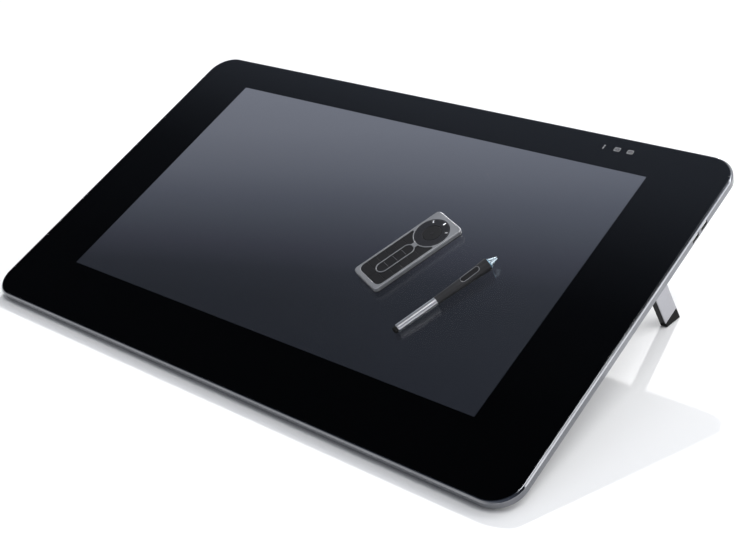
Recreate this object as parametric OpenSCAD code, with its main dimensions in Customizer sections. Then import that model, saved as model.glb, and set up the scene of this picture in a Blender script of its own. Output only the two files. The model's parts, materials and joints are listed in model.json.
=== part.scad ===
// Pen display: a graphics tablet with a screen, on fold-out legs, with its key remote and pen on the glass.
// Pieces are modelled on the flat panel: x across, y up the slope, z out of the glass from zero on its face.
// on_stand() then tilts the panel onto its legs, so that the desk is the plane z = 0.

/* [Body] */
// Width of the body across the desk
body_w = 768; // [753:1:783]
// Height of the body up the slope
body_h = 460; // [455:1:470]
// Corner radius of the outline
corner_r = 32; // [30:1:34]
// Width of the metal rim seen beside the glass
rim_w = 2.9; // [2.4:0.1:3.4]
// Chamfer along the rim's outer edge
rim_chamfer = 2; // [1.6:0.1:2.4]
// Height of the rim's side wall below the glass face
edge_h = 9; // [9:0.1:9.6]
// Depth of the flat rear face below the glass face
plateau_d = 20; // [20:0.1:20.6]
// Depth of the electronics housing below the glass face
house_d = 48; // [46:1:50]
// Width of the electronics housing where it leaves the rear face
house_w = 330; // [320:1:340]
// Height of the electronics housing where it leaves the rear face
house_h = 220; // [216:1:226]

/* [Screen] */
// Width of the border beside the picture, with the rim
side_border = 85.65; // [80:0.05:90]
// Width of the border above the picture, with the rim
top_border = 48.2; // [44:0.1:52]
// Width of the border below the picture, with the rim
bottom_border = 76.1; // [72:0.1:82]
// Thickness of the cover glass
glass_t = 2; // [1.9:0.05:2.1]

/* [Stand] */
// Slope of the glass
tilt = 20; // [19.5:0.5:22]
// Height of the glass plane above the desk at the front edge
front_h = 11.4; // [10.5:0.1:12]
// Width of a leg
leg_w = 24; // [20:1:26]
// Distance of a leg's hinge from the side of the body
leg_x = 61; // [59:1:65]
// Distance of a leg's middle from the rear edge of the body
leg_y = 120.5; // [116.5:1:124.5]
// How far an open leg leans outwards
leg_splay = 8; // [6:0.5:9]
// Radius of a leg's hinge pin
pin_r = 1.5; // [1.4:0.05:1.6]
// Distance of a front foot's middle from the side of the body
foot_x = 114; // [95:1:145]

/* [Ports and mounting] */
// Distance of the middle of the two side ports from the rear edge of the body
port_y = 99; // [96:0.5:104]
// Distance between the two side ports
port_pitch = 18; // [17:0.5:19]
// Hole spacing of the square mounting pattern
mount_pitch = 100; // [75:25:100]
// Distance of the power button from the right side of the body
button_x = 66; // [60:1:85]

/* [Remote] */
// Length of the key remote
remote_l = 115; // [113:0.5:117]
// Width of the key remote
remote_w = 46; // [45:0.5:47.5]
// Height of the key remote
remote_h = 9; // [8.8:0.1:9.6]
// Place of the remote across the glass
remote_x = 113; // [100:1:130]
// Place of the remote up the glass
remote_y = -1; // [-20:1:10]
// Turn of the remote on the glass
remote_turn = 68.5; // [60:0.5:75]

/* [Pen] */
// Length of the pen
pen_l = 133; // [128:1:138]
// Largest radius of the pen, at the front of the grip
flare_r = 7.1; // [6.6:0.1:7.6]
// Radius of the pen's rear barrel
barrel_r = 4.4; // [4.2:0.1:4.6]
// Place of the pen's tip across the glass
pen_x = 214.5; // [205:0.5:225]
// Place of the pen's tip up the glass
pen_y = 23.5; // [10:0.5:40]
// Turn of the pen on the glass
pen_turn = 67.5; // [60:0.5:80]
// Roll of the pen, which brings its side switch up
pen_roll = -15; // [-45:5:45]

/* [Fits] */
// Clearance between pieces that are only set together
fit = 0.15; // [0.1:0.01:0.2]
// Clearance round a key or button
key_gap = 0.25; // [0.2:0.01:0.3]
// Radial clearance of a turning pin
run_fit = 0.05; // [0.03:0.01:0.08]
// Travel of a key
key_travel = 0.6; // [0.4:0.05:0.6]

/* [Hidden] */
$fn = 96;
eps = 0.01;
// Stack of the display, as depths below the glass face
mask_t = 0.2;
tape_t = 0.5;
ledge_t = 1.6;
lcd_t = 1.8;
guide_t = 3;
sheet_t = 1;
sensor_t = 0.8;
chassis_t = 1.5;
mask_d = glass_t + mask_t;
ledge_d = mask_d + tape_t;
flange_d = ledge_d + ledge_t;
lcd_d = mask_d + lcd_t;
guide_d = lcd_d + guide_t;
tray_d = guide_d + sheet_t;
sensor_d = tray_d + sensor_t;
chassis_d = sensor_d + chassis_t;
screen_w = body_w - 2 * side_border;
screen_h = body_h - top_border - bottom_border;
screen_y = (bottom_border - top_border) / 2;
lcd_border = 7;
lcd_w = screen_w + 2 * lcd_border;
lcd_h = screen_h + 2 * lcd_border;
tray_w = lcd_w + 2 * (fit + sheet_t);
tray_h = lcd_h + 2 * (fit + sheet_t);
// Rim and glass
wall_t = 2.4;
glass_w = body_w - 2 * (rim_w + fit);
glass_h = body_h - 2 * (rim_w + fit);
glass_r = corner_r - rim_w - fit;
tape_in = 16;
tape_w = 11;
post_r = 3.2;
post_in = 24;
post_side = 55;
post_low = 92.5;
post_top = 57.5;
// Rear cover
cover_t = 2.2;
cover_d = plateau_d - cover_t;
lip_t = 1.6;
lip_d = 6;
lip_rise = 1.2;
lip_o = wall_t + 0.2;
seam_in = 0.8;
seam_d = edge_h + 0.6;
house_r = 40;
house_slope = 24;
house_wall = 2.9;
house_in = 4.5;
house_gap = 42.5;
house_top = body_h / 2 - house_gap;
house_y = house_top - house_h / 2;
house_flat = house_top - house_h + house_slope;
alcove_w = 170;
alcove_l = 44;
alcove_y = house_top - alcove_l;
alcove_cut = 100;
vent_n = 12;
vent_x = 100;
vent_l = 46;
vent_r = 1.6;
vent_in = 18;
vent_pitch = 9;
chassis_in = 18;
chassis_w = body_w - 2 * chassis_in;
chassis_h = body_h - 2 * chassis_in;
// Stand
stand_y = -(edge_h + rim_chamfer) * sin(tilt) / 2;
stand_z = front_h + body_h / 2 * sin(tilt);
desk_size = 1200;
hinge_x = body_w / 2 - leg_x;
hinge_y = body_h / 2 - leg_y;
foot_at = body_w / 2 - foot_x;
axis_d = 15.2;
knuckle_r = 3.3;
leg_in = 3.2;
leg_out = plateau_d - axis_d;
leg_plate_t = 1.2;
leg_gap = 0.6;
tub_t = 1.2;
tub_d = chassis_d + 0.2;
ear_t = 4;
ear_w = 13;
ear_base = 18;
ear_gap = 0.2;
ear_y = leg_w / 2 + leg_gap + tub_t + ear_gap;
ear_end = 0.9;
flange_w = 10;
flange_t = 1.7;
heel_h = 5;
foot_block = 30;
foot_over = 0.2;
tongue_l = 3;
tongue_in = 5;
tongue_x = 1.6;
tongue_t = 4;
rib_n = 4;
rib_wall = 2.5;
// Distance from the hinge to the desk along a leg, at one place up the body
function leg_reach(y) = ((front_h + (y + body_h / 2) * sin(tilt)) / cos(tilt) - axis_d) / cos(leg_splay);
arm_l = leg_reach(hinge_y - leg_w / 2) - heel_h;
tub_l = leg_reach(hinge_y + leg_w / 2) + 1;
foot_l = 56;
foot_w = 14;
foot_y = -body_h / 2 + corner_r + foot_w / 2 + 2.5;
pad_l = 30;
pad_w = 12;
pad_x = 105;
pad_h = 1.6;
pad_y = house_top - house_slope - pad_w;
pocket = 0.8;
// Mounting bosses, boards and sockets
mount_drop = 5;
mount_y = (house_flat + alcove_y) / 2 - mount_drop;
boss_r = 6;
mount_hole_r = 2;
mount_hole_l = 12;
case_post_r = 4;
board_post_r = 3;
case_side = 50;
case_end = 57.5;
case_rear = 155;
case_front = 110;
// Screws: radius and length of the shank, radius and height of the head
case_screw = [1.4, 6, 2.9, 1.1];
rim_screw = [1.2, 4.5, 2.6, 1.3];
ear_screw = [1.5, 4.5, 2.8, 1.4];
board_screw = [1.2, 6, 2.4, 1.2];
usb_screw = [0.8, 3.6, 1.6, 0.8];
screw_gap = 0.1;
sunk = 1.3;
board_d = 26.5;
board_t = 1.6;
board_w = 160;
board_h = 81;
chip_w = 34;
chip_t = 6;
coil_w = 24;
coil_h = 16;
coil_t = 3;
coil_x = 54;
// Sockets under the main board: place across, width, height, length, tongue or pin
power_socket = [-64.5, 11, 11, 15, 1];
picture_socket_1 = [-24, 15, 5.8, 15, 1.2];
picture_socket_2 = [12, 17, 5.2, 15, 1.2];
data_socket = [63.5, 12.4, 12, 17, 4];
sockets = [power_socket, picture_socket_1, picture_socket_2, data_socket];
socket_t = 0.6;
socket_end = 3;
inlet_r = 3.2;
board_y = alcove_y - cover_t - 1 - board_h / 2;
port_w = 13.1;
port_h = 5.6;
port_l = 18;
port_d = ledge_d + 0.05;
port_at = body_h / 2 - port_y;
port_end = 2;
tongue_z = 2.9;
port_tongue_w = 11;
port_tongue_t = 1.8;
shell_t = 0.35;
usb_in = 9;
usb_w = 13.5;
usb_board_h = 55;
usb_post_r = 2.4;
usb_post_in = 5;
usb_room = 1.5;
usb_board_d = port_d + port_h;
usb_board_t = 1;
button_d = flange_d + 0.2;
button_h = 3.2;
button_w = 14.8;
button_at = body_w / 2 - button_x;
button_y = body_h / 2 - wall_t;
button_proud = 0.5;
collar_w = 4;
switch_gap = 2.8;
switch_box = 10;
// Remote, in its own frame: x towards the ring, y to the left, z up
remote_r = 5;
base_h = 4;
frame_t = 1.8;
frame_wall = 1.2;
hollow_l = remote_l - 2 * frame_wall;
hollow_w = remote_w - 2 * frame_wall;
frame_z = remote_h - frame_t;
ring_x = 32;
ring_r = 20.3;
line_w = 1;
pill_r = 6.6;
pill_x0 = -40;
pill_x1 = 6.5;
well_x0 = -52.5;
well_x1 = 20;
well_w = 40.4;
well_r = 7;
side_keys = 6;
pill_keys = 4;
side_pitch = 11.4;
key_top = remote_h - 0.4;
key_t = 1.7;
key_bottom = key_top - key_t;
mat_t = 0.6;
pcb_t = 1.2;
pcb_z = base_h + 0.4;
mat_z = pcb_z + pcb_t;
hub_r = 11;
light_r = 17;
light_l = 3.4;
light_w = 1.5;
// Pen, along its own axis from the tip
cone_l = 12;
band_l = 1.2;
grip_s = cone_l + band_l;
grip_l = 66.5;
barrel_s = grip_s + grip_l;
barrel_l = 48.6;
sleeve_r = 3;
sleeve_s = 20;
nib_r = 0.9;
nib_l = 2;
socket_r = 2.2;
socket_l = 12;
stem_r = 2;
stem_l = 10;
grip_steps = 16;
switch_s = 25;
switch_l = 22;
switch_w = 5;
switch_rise = 0.5;
slot_floor = 3.6;
switch_floor = 5;
pivot_z = 4.4;
pivot_r = 0.5;
pivot_l = 6.2;
core_l = 78;
eraser_r = 3.7;
pen_rest = 0.1;
rest_s = barrel_s + barrel_l - 2;
pen_lean = asin((flare_r - barrel_r) / (rest_s - grip_s - 1));

// Places of the repeated fixings, on the panel
rim_posts = [
  for (k = [-1, -0.5, 0, 0.5, 1], s = [-1, 1]) [k * (body_w / 2 - post_side), s * (body_h / 2 - post_in)],
  for (y = [post_low - body_h / 2, 0, body_h / 2 - post_top], s = [-1, 1]) [s * (body_w / 2 - post_in), y]
];
case_points = [
  for (s = [-1, 1], k = [-1, 0, 1]) [s * (body_w / 2 - case_side), k * (body_h / 2 - case_end)],
  for (s = [-1, 1]) [s * (body_w / 2 - case_rear), body_h / 2 - case_end],
  for (s = [-1, 1]) [s * case_front, case_end - body_h / 2]
];
mount_points = [for (x = [-1, 1], y = [-1, 1]) [x * mount_pitch / 2, mount_y + y * mount_pitch / 2]];
board_points = [for (x = [-1, 1], y = [-1, 1]) [x * (board_w / 2 - 6), board_y + y * (board_h / 2 - 5)]];
usb_points = [
  for (s = [-1, 1]) [body_w / 2 - usb_in - usb_w / 2, port_at + s * (usb_board_h / 2 - usb_post_in)]
];
bracket_points = [
  for (s = [-1, 1], e = [-1, 1]) [s * hinge_x, hinge_y + e * (ear_y + ear_t + flange_w / 2)]
];

// Tilts the flat panel onto its stand
module on_stand() {
  translate([0, stand_y, stand_z])
    rotate([tilt, 0, 0])
      children();
}

// Everything below the desk, seen from the flat panel
module desk() {
  rotate([-tilt, 0, 0])
    translate([-desk_size / 2, -stand_y - desk_size / 2, -stand_z - desk_size])
      cube(desk_size);
}

// Sweeps a profile round a rounded rectangle: its x runs outwards from the outline and its y runs up
module swept(w, h, r) {
  for (side = [0:3]) {
    along = side % 2 == 0 ? h : w;
    across = side % 2 == 0 ? w : h;
    rotate(90 * side) {
      translate([across / 2, along / 2 - r, 0])
        rotate([90, 0, 0])
          linear_extrude(along - 2 * r)
            children();
      translate([across / 2 - r, along / 2 - r, 0])
        rotate_extrude(angle = 90)
          translate([r, 0])
            children();
    }
  }
}

// Plate with rounded corners, from height z up by t
module plate(w, h, r, z, t) {
  swept(w, h, r)
    translate([-r, z])
      square([r, t]);
  translate([-w / 2 + r, -h / 2 + r, z])
    cube([w - 2 * r, h - 2 * r, t]);
}

// Box centred on x and y, from height z up by t
module block(w, h, z, t) {
  translate([-w / 2, -h / 2, z])
    cube([w, h, t]);
}

// Bar with round ends along x, from height z up by t
module bar(l, r, z, t) {
  block(l - 2 * r, 2 * r, z, t);
  for (s = [-1, 1])
    translate([s * (l / 2 - r), 0, z])
      cylinder(r = r, h = t);
}

// Copies a shape to every point of a list
module at_points(points) {
  for (p = points)
    translate([p[0], p[1], 0])
      children();
}

// Copies a shape to the right side and its mirror image to the left
module both_sides() {
  children();
  mirror([1, 0, 0])
    children();
}

// Screw below a plate: shank up from depth d, head below it
module screw(d, kind) {
  translate([0, 0, -d])
    cylinder(r = kind[0], h = kind[1]);
  translate([0, 0, -d - kind[3]])
    cylinder(r = kind[2], h = kind[3]);
}

// Hole for a screw's shank, up from depth d by l
module screw_hole(d, kind, gap, l) {
  translate([0, 0, -d - 1])
    cylinder(r = kind[0] + gap, h = l + 1);
}

module cover_glass() {
  color([0.05, 0.05, 0.06])
    on_stand()
      plate(glass_w, glass_h, glass_r, -glass_t, glass_t);
}

// Black print behind the glass, with the window of the picture
module border_mask() {
  color([0.02, 0.02, 0.02])
    on_stand()
      difference() {
        plate(glass_w, glass_h, glass_r, -mask_d, mask_t);
        translate([0, screen_y, 0])
          block(screen_w, screen_h, -mask_d - eps, mask_t + 2 * eps);
      }
}

module glass_tape() {
  color([0.1, 0.1, 0.1])
    on_stand()
      swept(body_w, body_h, corner_r)
        translate([-tape_in, -ledge_d])
          square([tape_w, tape_t]);
}

// Windows of the two side ports, grown by a clearance
module port_windows(grow) {
  for (s = [-1, 1])
    translate([body_w / 2 - port_l - 1, port_at + s * port_pitch / 2, -port_d - port_h])
      translate([0, -port_w / 2 - grow, -grow])
        cube([port_l + 2, port_w + 2 * grow, port_h + 2 * grow]);
}

// Power button's bar through the rear wall, grown by a clearance
module button_bar(grow, y0, y1) {
  translate([button_at, y1, -button_d - button_h / 2])
    rotate([90, 0, 0])
      bar(button_w + 2 * grow, button_h / 2 + grow, 0, y1 - y0);
}

// Metal rim: chamfered wall, ledge under the glass, posts for the chassis
module rim_frame() {
  color([0.72, 0.73, 0.75])
    on_stand()
      difference() {
        union() {
          swept(body_w, body_h, corner_r)
            polygon([
              [-rim_w, 0], [-rim_chamfer, 0], [0, -rim_chamfer], [0, -edge_h], [-wall_t, -edge_h],
              [-wall_t, -flange_d], [-corner_r, -flange_d], [-corner_r, -ledge_d], [-rim_w, -ledge_d]
            ]);
          at_points(rim_posts)
            translate([0, 0, -sensor_d])
              cylinder(r = post_r, h = sensor_d - ledge_d - eps);
          at_points(usb_points)
            translate([0, 0, -usb_board_d])
              cylinder(r = usb_post_r, h = usb_board_d - ledge_d - eps);
        }
        port_windows(0.1);
        button_bar(0.1, button_y - 1, body_h / 2 + 1);
        at_points(rim_posts)
          screw_hole(sensor_d, rim_screw, screw_gap, rim_screw[1] - chassis_t + 0.5);
        at_points(usb_points)
          screw_hole(usb_board_d, usb_screw, screw_gap, usb_screw[1] - usb_board_t + 0.4);
      }
}

module lcd_panel() {
  color([0.2, 0.21, 0.23])
    on_stand()
      translate([0, screen_y, 0])
        block(lcd_w, lcd_h, -lcd_d, lcd_t);
}

module light_guide() {
  color([0.9, 0.92, 0.94])
    on_stand()
      translate([0, screen_y, 0])
        block(lcd_w - 2, lcd_h - 2, -guide_d, guide_t);
}

module panel_tray() {
  color([0.6, 0.6, 0.6])
    on_stand()
      translate([0, screen_y, 0])
        difference() {
          block(tray_w, tray_h, -tray_d, tray_d - mask_d - 0.4);
          block(lcd_w + 2 * fit, lcd_h + 2 * fit, -guide_d, guide_t + lcd_t);
        }
}

// Board that senses the pen, behind the whole picture
module sensor_board() {
  color([0.1, 0.3, 0.18])
    on_stand()
      translate([0, screen_y, 0])
        block(tray_w, tray_h, -sensor_d, sensor_t);
}

// Structural plate with its standoffs and mounting bosses
module chassis() {
  color([0.55, 0.56, 0.58])
    on_stand()
      difference() {
        union() {
          plate(chassis_w, chassis_h, corner_r - chassis_in, -chassis_d, chassis_t);
          at_points(case_points)
            translate([0, 0, -cover_d])
              cylinder(r = case_post_r, h = cover_d - sensor_d - eps);
          at_points(board_points)
            translate([0, 0, -board_d])
              cylinder(r = board_post_r, h = board_d - sensor_d - eps);
          at_points(mount_points)
            translate([0, 0, -house_d])
              cylinder(r = boss_r, h = house_d - sensor_d - eps);
        }
        at_points(rim_posts)
          screw_hole(chassis_d, rim_screw, 3 * screw_gap, chassis_t + 1);
        at_points(bracket_points)
          screw_hole(chassis_d, ear_screw, screw_gap, chassis_t + 1);
        at_points(case_points)
          screw_hole(cover_d, case_screw, screw_gap, case_screw[1]);
        at_points(board_points)
          screw_hole(board_d, board_screw, screw_gap, board_screw[1]);
        at_points(mount_points)
          translate([0, 0, -house_d - 1])
            cylinder(r = mount_hole_r, h = mount_hole_l + 1);
        translate([body_w / 2 + usb_room, port_at, 0])
          translate([-usb_w - usb_in - 2 * usb_room, -usb_board_h / 2 - usb_room, -chassis_d - 1])
            cube([usb_w + usb_in + 2 * usb_room, usb_board_h + 2 * usb_room, chassis_t + 2]);
      }
}

// Main circuit board with its larger parts, hung on the chassis
module main_board() {
  color([0.1, 0.35, 0.2])
    on_stand()
      difference() {
        translate([0, board_y, 0]) {
          block(board_w, board_h, -board_d - board_t, board_t);
          translate([0, -board_h / 4, 0])
            block(chip_w, chip_w, -board_d - board_t - chip_t, chip_t + eps);
          for (s = [-1, 1])
            translate([s * coil_x, -board_h / 4, 0])
              block(coil_w, coil_h, -board_d - board_t - coil_t, coil_t + eps);
        }
        at_points(mount_points)
          translate([0, 0, -board_d - board_t - 10])
            cylinder(r = boss_r + 0.8, h = board_t + 20);
        at_points(board_points)
          screw_hole(board_d + board_t, board_screw, 3 * screw_gap, board_t + 1);
      }
}

// Small board that carries the two side ports
module usb_board() {
  color([0.1, 0.35, 0.2])
    on_stand()
      difference() {
        translate([body_w / 2 - usb_in - usb_w, port_at - usb_board_h / 2, -usb_board_d - usb_board_t])
          cube([usb_w, usb_board_h, usb_board_t]);
        at_points(usb_points)
          screw_hole(usb_board_d + usb_board_t, usb_screw, 3 * screw_gap, usb_board_t + 1);
      }
}

// Metal shell of one side port, with its contact tongue
module usb_port() {
  difference() {
    translate([-port_l, -port_w / 2, 0])
      cube([port_l, port_w, port_h]);
    translate([-port_l + port_end, -port_w / 2 + shell_t, shell_t])
      cube([port_l, port_w - 2 * shell_t, port_h - 2 * shell_t]);
  }
  translate([-port_l + port_end - eps, -port_tongue_w / 2, tongue_z])
    cube([port_l - port_end - 1.5, port_tongue_w, port_tongue_t]);
}

module usb_ports() {
  color([0.8, 0.8, 0.82])
    on_stand()
      for (s = [-1, 1])
        translate([body_w / 2 - 0.2, port_at + s * port_pitch / 2, -port_d - port_h])
          usb_port();
}

// Socket with a rectangular mouth facing up the slope, hung under the main board
module box_socket(kind) {
  w = kind[1];
  h = kind[2];
  l = kind[3];
  translate([kind[0], alcove_y, -board_d - board_t - h]) {
    difference() {
      translate([-w / 2, -l, 0])
        cube([w, l, h]);
      translate([-w / 2 + socket_t, -l + socket_end, socket_t])
        cube([w - 2 * socket_t, l, h - 2 * socket_t]);
    }
    translate([-w / 2 + 2, -l + socket_end - eps, h / 2 - kind[4] / 2])
      cube([w - 4, l - socket_end - 1, kind[4]]);
  }
}

// Round power inlet with its centre pin
module power_inlet(kind) {
  w = kind[1];
  l = kind[3];
  translate([kind[0], alcove_y, -board_d - board_t - w / 2])
    rotate([90, 0, 0]) {
      difference() {
        translate([-w / 2, -w / 2, 0])
          cube([w, w, l]);
        translate([0, 0, -1])
          cylinder(r = inlet_r, h = l - socket_end + 1);
      }
      translate([0, 0, 1.5])
        cylinder(r = kind[4], h = l - socket_end);
    }
}

// Power inlet, two picture inputs and the computer's data socket
module rear_sockets() {
  color([0.25, 0.25, 0.27])
    on_stand() {
      power_inlet(power_socket);
      box_socket(picture_socket_1);
      box_socket(picture_socket_2);
      box_socket(data_socket);
    }
}

// Holes of the sockets through the alcove's wall
module socket_holes() {
  top = -board_d - board_t;
  for (s = sockets)
    translate([s[0] - s[1] / 2 - fit, alcove_y - cover_t - 1, top - s[2] - fit])
      cube([s[1] + 2 * fit, cover_t + 2, s[2] + 2 * fit]);
}

// Housing as a full block with sloping sides
module house_block(top_d) {
  translate([0, house_y, 0]) {
    swept(house_w, house_h, house_r)
      polygon([
        [0, -top_d], [0, -plateau_d], [-house_slope, -house_d],
        [-house_r, -house_d], [-house_r, -top_d]
      ]);
    block(house_w - 2 * house_r, house_h - 2 * house_r, -house_d, house_d - top_d);
  }
}

// Housing as a shell, open towards the panel
module house_shell() {
  drop = house_slope / (house_d - plateau_d);
  floor_d = house_d - cover_t;
  translate([0, house_y, 0]) {
    swept(house_w, house_h, house_r)
      polygon([
        [0, -cover_d], [0, -plateau_d], [-house_slope, -house_d], [-house_r, -house_d], [-house_r, -floor_d],
        [-house_wall - drop * (floor_d - plateau_d), -floor_d], [-house_wall + drop * cover_t, -cover_d]
      ]);
    block(house_w - 2 * house_r, house_h - 2 * house_r, -house_d, cover_t);
  }
}

// Pocket in which a right leg folds, with room for its hinge and a slanted stop
module leg_pocket() {
  pocket_w = leg_w + 2 * leg_gap;
  translate([hinge_x, hinge_y + pocket_w / 2, -axis_d])
    rotate([90, 0, 0])
      linear_extrude(pocket_w) {
        translate([-tub_l, -leg_out - 1])
          square([tub_l + 1, leg_out + 1 + leg_in + 0.3]);
        circle(leg_in + 0.2);
        rotate(leg_splay)
          translate([-leg_in, -12])
            square([leg_in + leg_out + 0.1, 12]);
      }
}

// Walls of that pocket
module leg_tub() {
  translate([hinge_x - tub_l - tub_t, hinge_y - leg_w / 2 - leg_gap - tub_t, -plateau_d])
    cube([tub_l + tub_t + 10, leg_w + 2 * (leg_gap + tub_t), plateau_d - tub_d]);
}

// Ventilation slots in the housing's rear wall
module vent_slots() {
  for (s = [-1, 1], i = [0:vent_n - 1])
    translate([s * vent_x, house_flat + vent_in + vent_pitch * i, 0])
      bar(vent_l, vent_r, -house_d - 1, cover_t + 2);
}

// Rear shell: sloping skirt, flat back, leg pockets and the electronics housing with its socket alcove
module rear_cover() {
  color([0.09, 0.09, 0.1])
    on_stand()
      difference() {
        union() {
          swept(body_w, body_h, corner_r)
            polygon([
              [-lip_o - lip_t, -lip_d], [-lip_o, -lip_d], [-lip_o, -edge_h], [-seam_in, -edge_h],
              [-seam_in, -seam_d], [-corner_r, -plateau_d], [-corner_r, -cover_d],
              [-lip_o - lip_t, -seam_d + lip_rise]
            ]);
          difference() {
            block(body_w - 2 * corner_r, body_h - 2 * corner_r, -plateau_d, cover_t);
            translate([0, house_y, -plateau_d - 1])
              plate(house_w - 2 * house_in, house_h - 2 * house_in, house_r - house_in, 0, cover_t + 2);
          }
          difference() {
            house_shell();
            translate([0, alcove_y + alcove_cut / 2, 0])
              block(alcove_w, alcove_cut, -house_d - 1, house_d - plateau_d + 1);
          }
          intersection() {
            house_block(cover_d);
            translate([0, alcove_y - cover_t, 0])
              difference() {
                translate([0, alcove_cut / 2, 0])
                  block(alcove_w + 2 * cover_t, alcove_cut, -house_d, house_d - cover_d);
                translate([0, cover_t + alcove_cut / 2, 0])
                  block(alcove_w, alcove_cut, -house_d - 1, house_d - plateau_d + 1);
              }
          }
          both_sides()
            leg_tub();
        }
        both_sides()
          leg_pocket();
        both_sides()
          translate([hinge_x, hinge_y, -axis_d])
            rotate([90, 0, 0])
              cylinder(r = pin_r + 2 * fit, h = 2 * ear_y + ear_t, center = true);
        at_points(case_points) {
          screw_hole(plateau_d, case_screw, 3 * screw_gap, cover_t + 1);
          translate([0, 0, -plateau_d - 1])
            cylinder(r = case_screw[2] + 2 * screw_gap, h = 1 + sunk);
        }
        at_points(mount_points)
          translate([0, 0, -house_d - 1])
            cylinder(r = boss_r + fit, h = cover_t + 2);
        for (s = [-1, 1])
          translate([s * foot_at, foot_y, 0])
            bar(foot_l + 0.2, foot_w / 2 + 0.1, -plateau_d - 1, 1 + pocket);
        for (s = [-1, 1])
          translate([s * pad_x, pad_y, 0])
            bar(pad_l + 0.2, pad_w / 2 + 0.1, -house_d - 1, 1 + pocket);
        vent_slots();
        socket_holes();
        translate([body_w / 2 - 6, port_at - port_pitch / 2 - port_w / 2 - 1, -edge_h + 0.2])
          cube([4, port_pitch + port_w + 2, edge_h]);
        translate([button_at - button_w / 2 - collar_w, body_h / 2 - 6, -edge_h + 0.2])
          cube([button_w + 2 * collar_w, 4, edge_h]);
      }
}

// Four steel ears that carry the hinge pins, screwed under the chassis
module leg_brackets() {
  color([0.5, 0.5, 0.52])
    on_stand()
      both_sides()
        for (e = [0, 1])
          translate([hinge_x, hinge_y, 0])
            mirror([0, e, 0])
              difference() {
                union() {
                  translate([-ear_w / 2, ear_y, -axis_d - pin_r - ear_end])
                    cube([ear_w, ear_t, axis_d + pin_r + ear_end - chassis_d]);
                  translate([-ear_base / 2, ear_y + ear_t - eps, -chassis_d - flange_t])
                    cube([ear_base, flange_w, flange_t]);
                }
                translate([0, ear_y - 1, -axis_d])
                  rotate([-90, 0, 0])
                    cylinder(r = pin_r + 0.02, h = ear_t + 2);
                translate([0, ear_y + ear_t + flange_w / 2, 0])
                  screw_hole(chassis_d + flange_t, ear_screw, screw_gap, flange_t + 1);
              }
}

module hinge_pins() {
  color([0.75, 0.75, 0.77])
    on_stand()
      both_sides()
        translate([hinge_x, hinge_y, -axis_d])
          rotate([90, 0, 0])
            cylinder(r = pin_r, h = leg_w + 2 * (leg_gap + tub_t + ear_t), center = true);
}

// Rubber feet under the front edge, cut level with the desk
module front_feet() {
  color([0.06, 0.06, 0.06])
    on_stand()
      difference() {
        for (s = [-1, 1])
          translate([s * foot_at, foot_y, 0])
            bar(foot_l, foot_w / 2, -2 * plateau_d, plateau_d + pocket);
        desk();
      }
}

// Rubber pads that carry the body when the legs are folded
module rear_pads() {
  color([0.06, 0.06, 0.06])
    on_stand()
      for (s = [-1, 1])
        translate([s * pad_x, pad_y, 0])
          bar(pad_l, pad_w / 2, -house_d - pad_h, pad_h + pocket);
}

// Screws that hold the rear cover to the chassis
module case_screws() {
  color([0.2, 0.2, 0.2])
    on_stand()
      at_points(case_points)
        difference() {
          screw(plateau_d - sunk, case_screw);
          translate([0, 0, -plateau_d])
            block(case_screw[2] + 0.3, 0.7, 0, sunk - 0.5);
        }
}

// Screws inside: chassis to rim, hinge ears and boards to the chassis
module chassis_screws() {
  color([0.7, 0.7, 0.7])
    on_stand() {
      at_points(rim_posts)
        screw(chassis_d, rim_screw);
      at_points(bracket_points)
        screw(chassis_d + flange_t, ear_screw);
      at_points(board_points)
        screw(board_d + board_t, board_screw);
      at_points(usb_points)
        screw(usb_board_d + usb_board_t, usb_screw);
    }
}

module power_switch() {
  color([0.15, 0.15, 0.15])
    on_stand()
      translate([button_at, button_y - switch_gap - switch_box / 2, 0])
        block(switch_box, switch_box, -button_d - button_h, button_d + button_h - flange_d);
}

// Power button: cap through the rear wall and the collar behind it
module power_button() {
  color([0.5, 0.5, 0.52])
    on_stand() {
      button_bar(0, button_y - 0.5, body_h / 2 + button_proud);
      translate([button_at, button_y - 1, 0])
        block(button_w + collar_w, 1.4, -button_d - button_h, button_h);
    }
}

// Frame of the right leg: hinge axis along y, leg down, bright face towards +x
module right_leg() {
  on_stand()
    difference() {
      translate([hinge_x, hinge_y, -axis_d])
        rotate([0, -leg_splay, 0])
          children();
      desk();
    }
}

// Frame of the left leg, as the mirror image
module left_leg() {
  mirror([1, 0, 0])
    right_leg()
      children();
}

// Tongue of the arm inside the foot, grown by a clearance
module leg_tongue(grow) {
  translate([-tongue_x - grow, -leg_w / 2 + tongue_in - grow, -arm_l - tongue_l - grow])
    cube([tongue_t + 2 * grow, leg_w - 2 * tongue_in + 2 * grow, tongue_l + grow + eps]);
}

// Arm with its hinge knuckle, ribbed on the hidden face
module leg_arm() {
  outer = leg_out - leg_plate_t;
  rib_pitch = (arm_l - 14) / rib_n;
  color([0.07, 0.07, 0.08])
    difference() {
      union() {
        rotate([90, 0, 0])
          cylinder(r = knuckle_r, h = leg_w, center = true);
        translate([-leg_in, -leg_w / 2, -arm_l])
          cube([leg_in + outer, leg_w, arm_l - 1.5]);
        leg_tongue(0);
      }
      rotate([90, 0, 0])
        cylinder(r = pin_r + run_fit, h = leg_w + 2, center = true);
      for (i = [0:rib_n - 1])
        translate([-leg_in - 1, -leg_w / 2 + rib_wall, -arm_l + 6 + i * rib_pitch])
          cube([1 + rib_wall, leg_w - 2 * rib_wall, rib_pitch - 2]);
    }
}

// Bright brushed plate on the arm's outer face
module leg_plate() {
  color([0.75, 0.76, 0.78])
    translate([leg_out - leg_plate_t, -leg_w / 2, -arm_l])
      cube([leg_plate_t, leg_w, arm_l - 4.5]);
}

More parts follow.
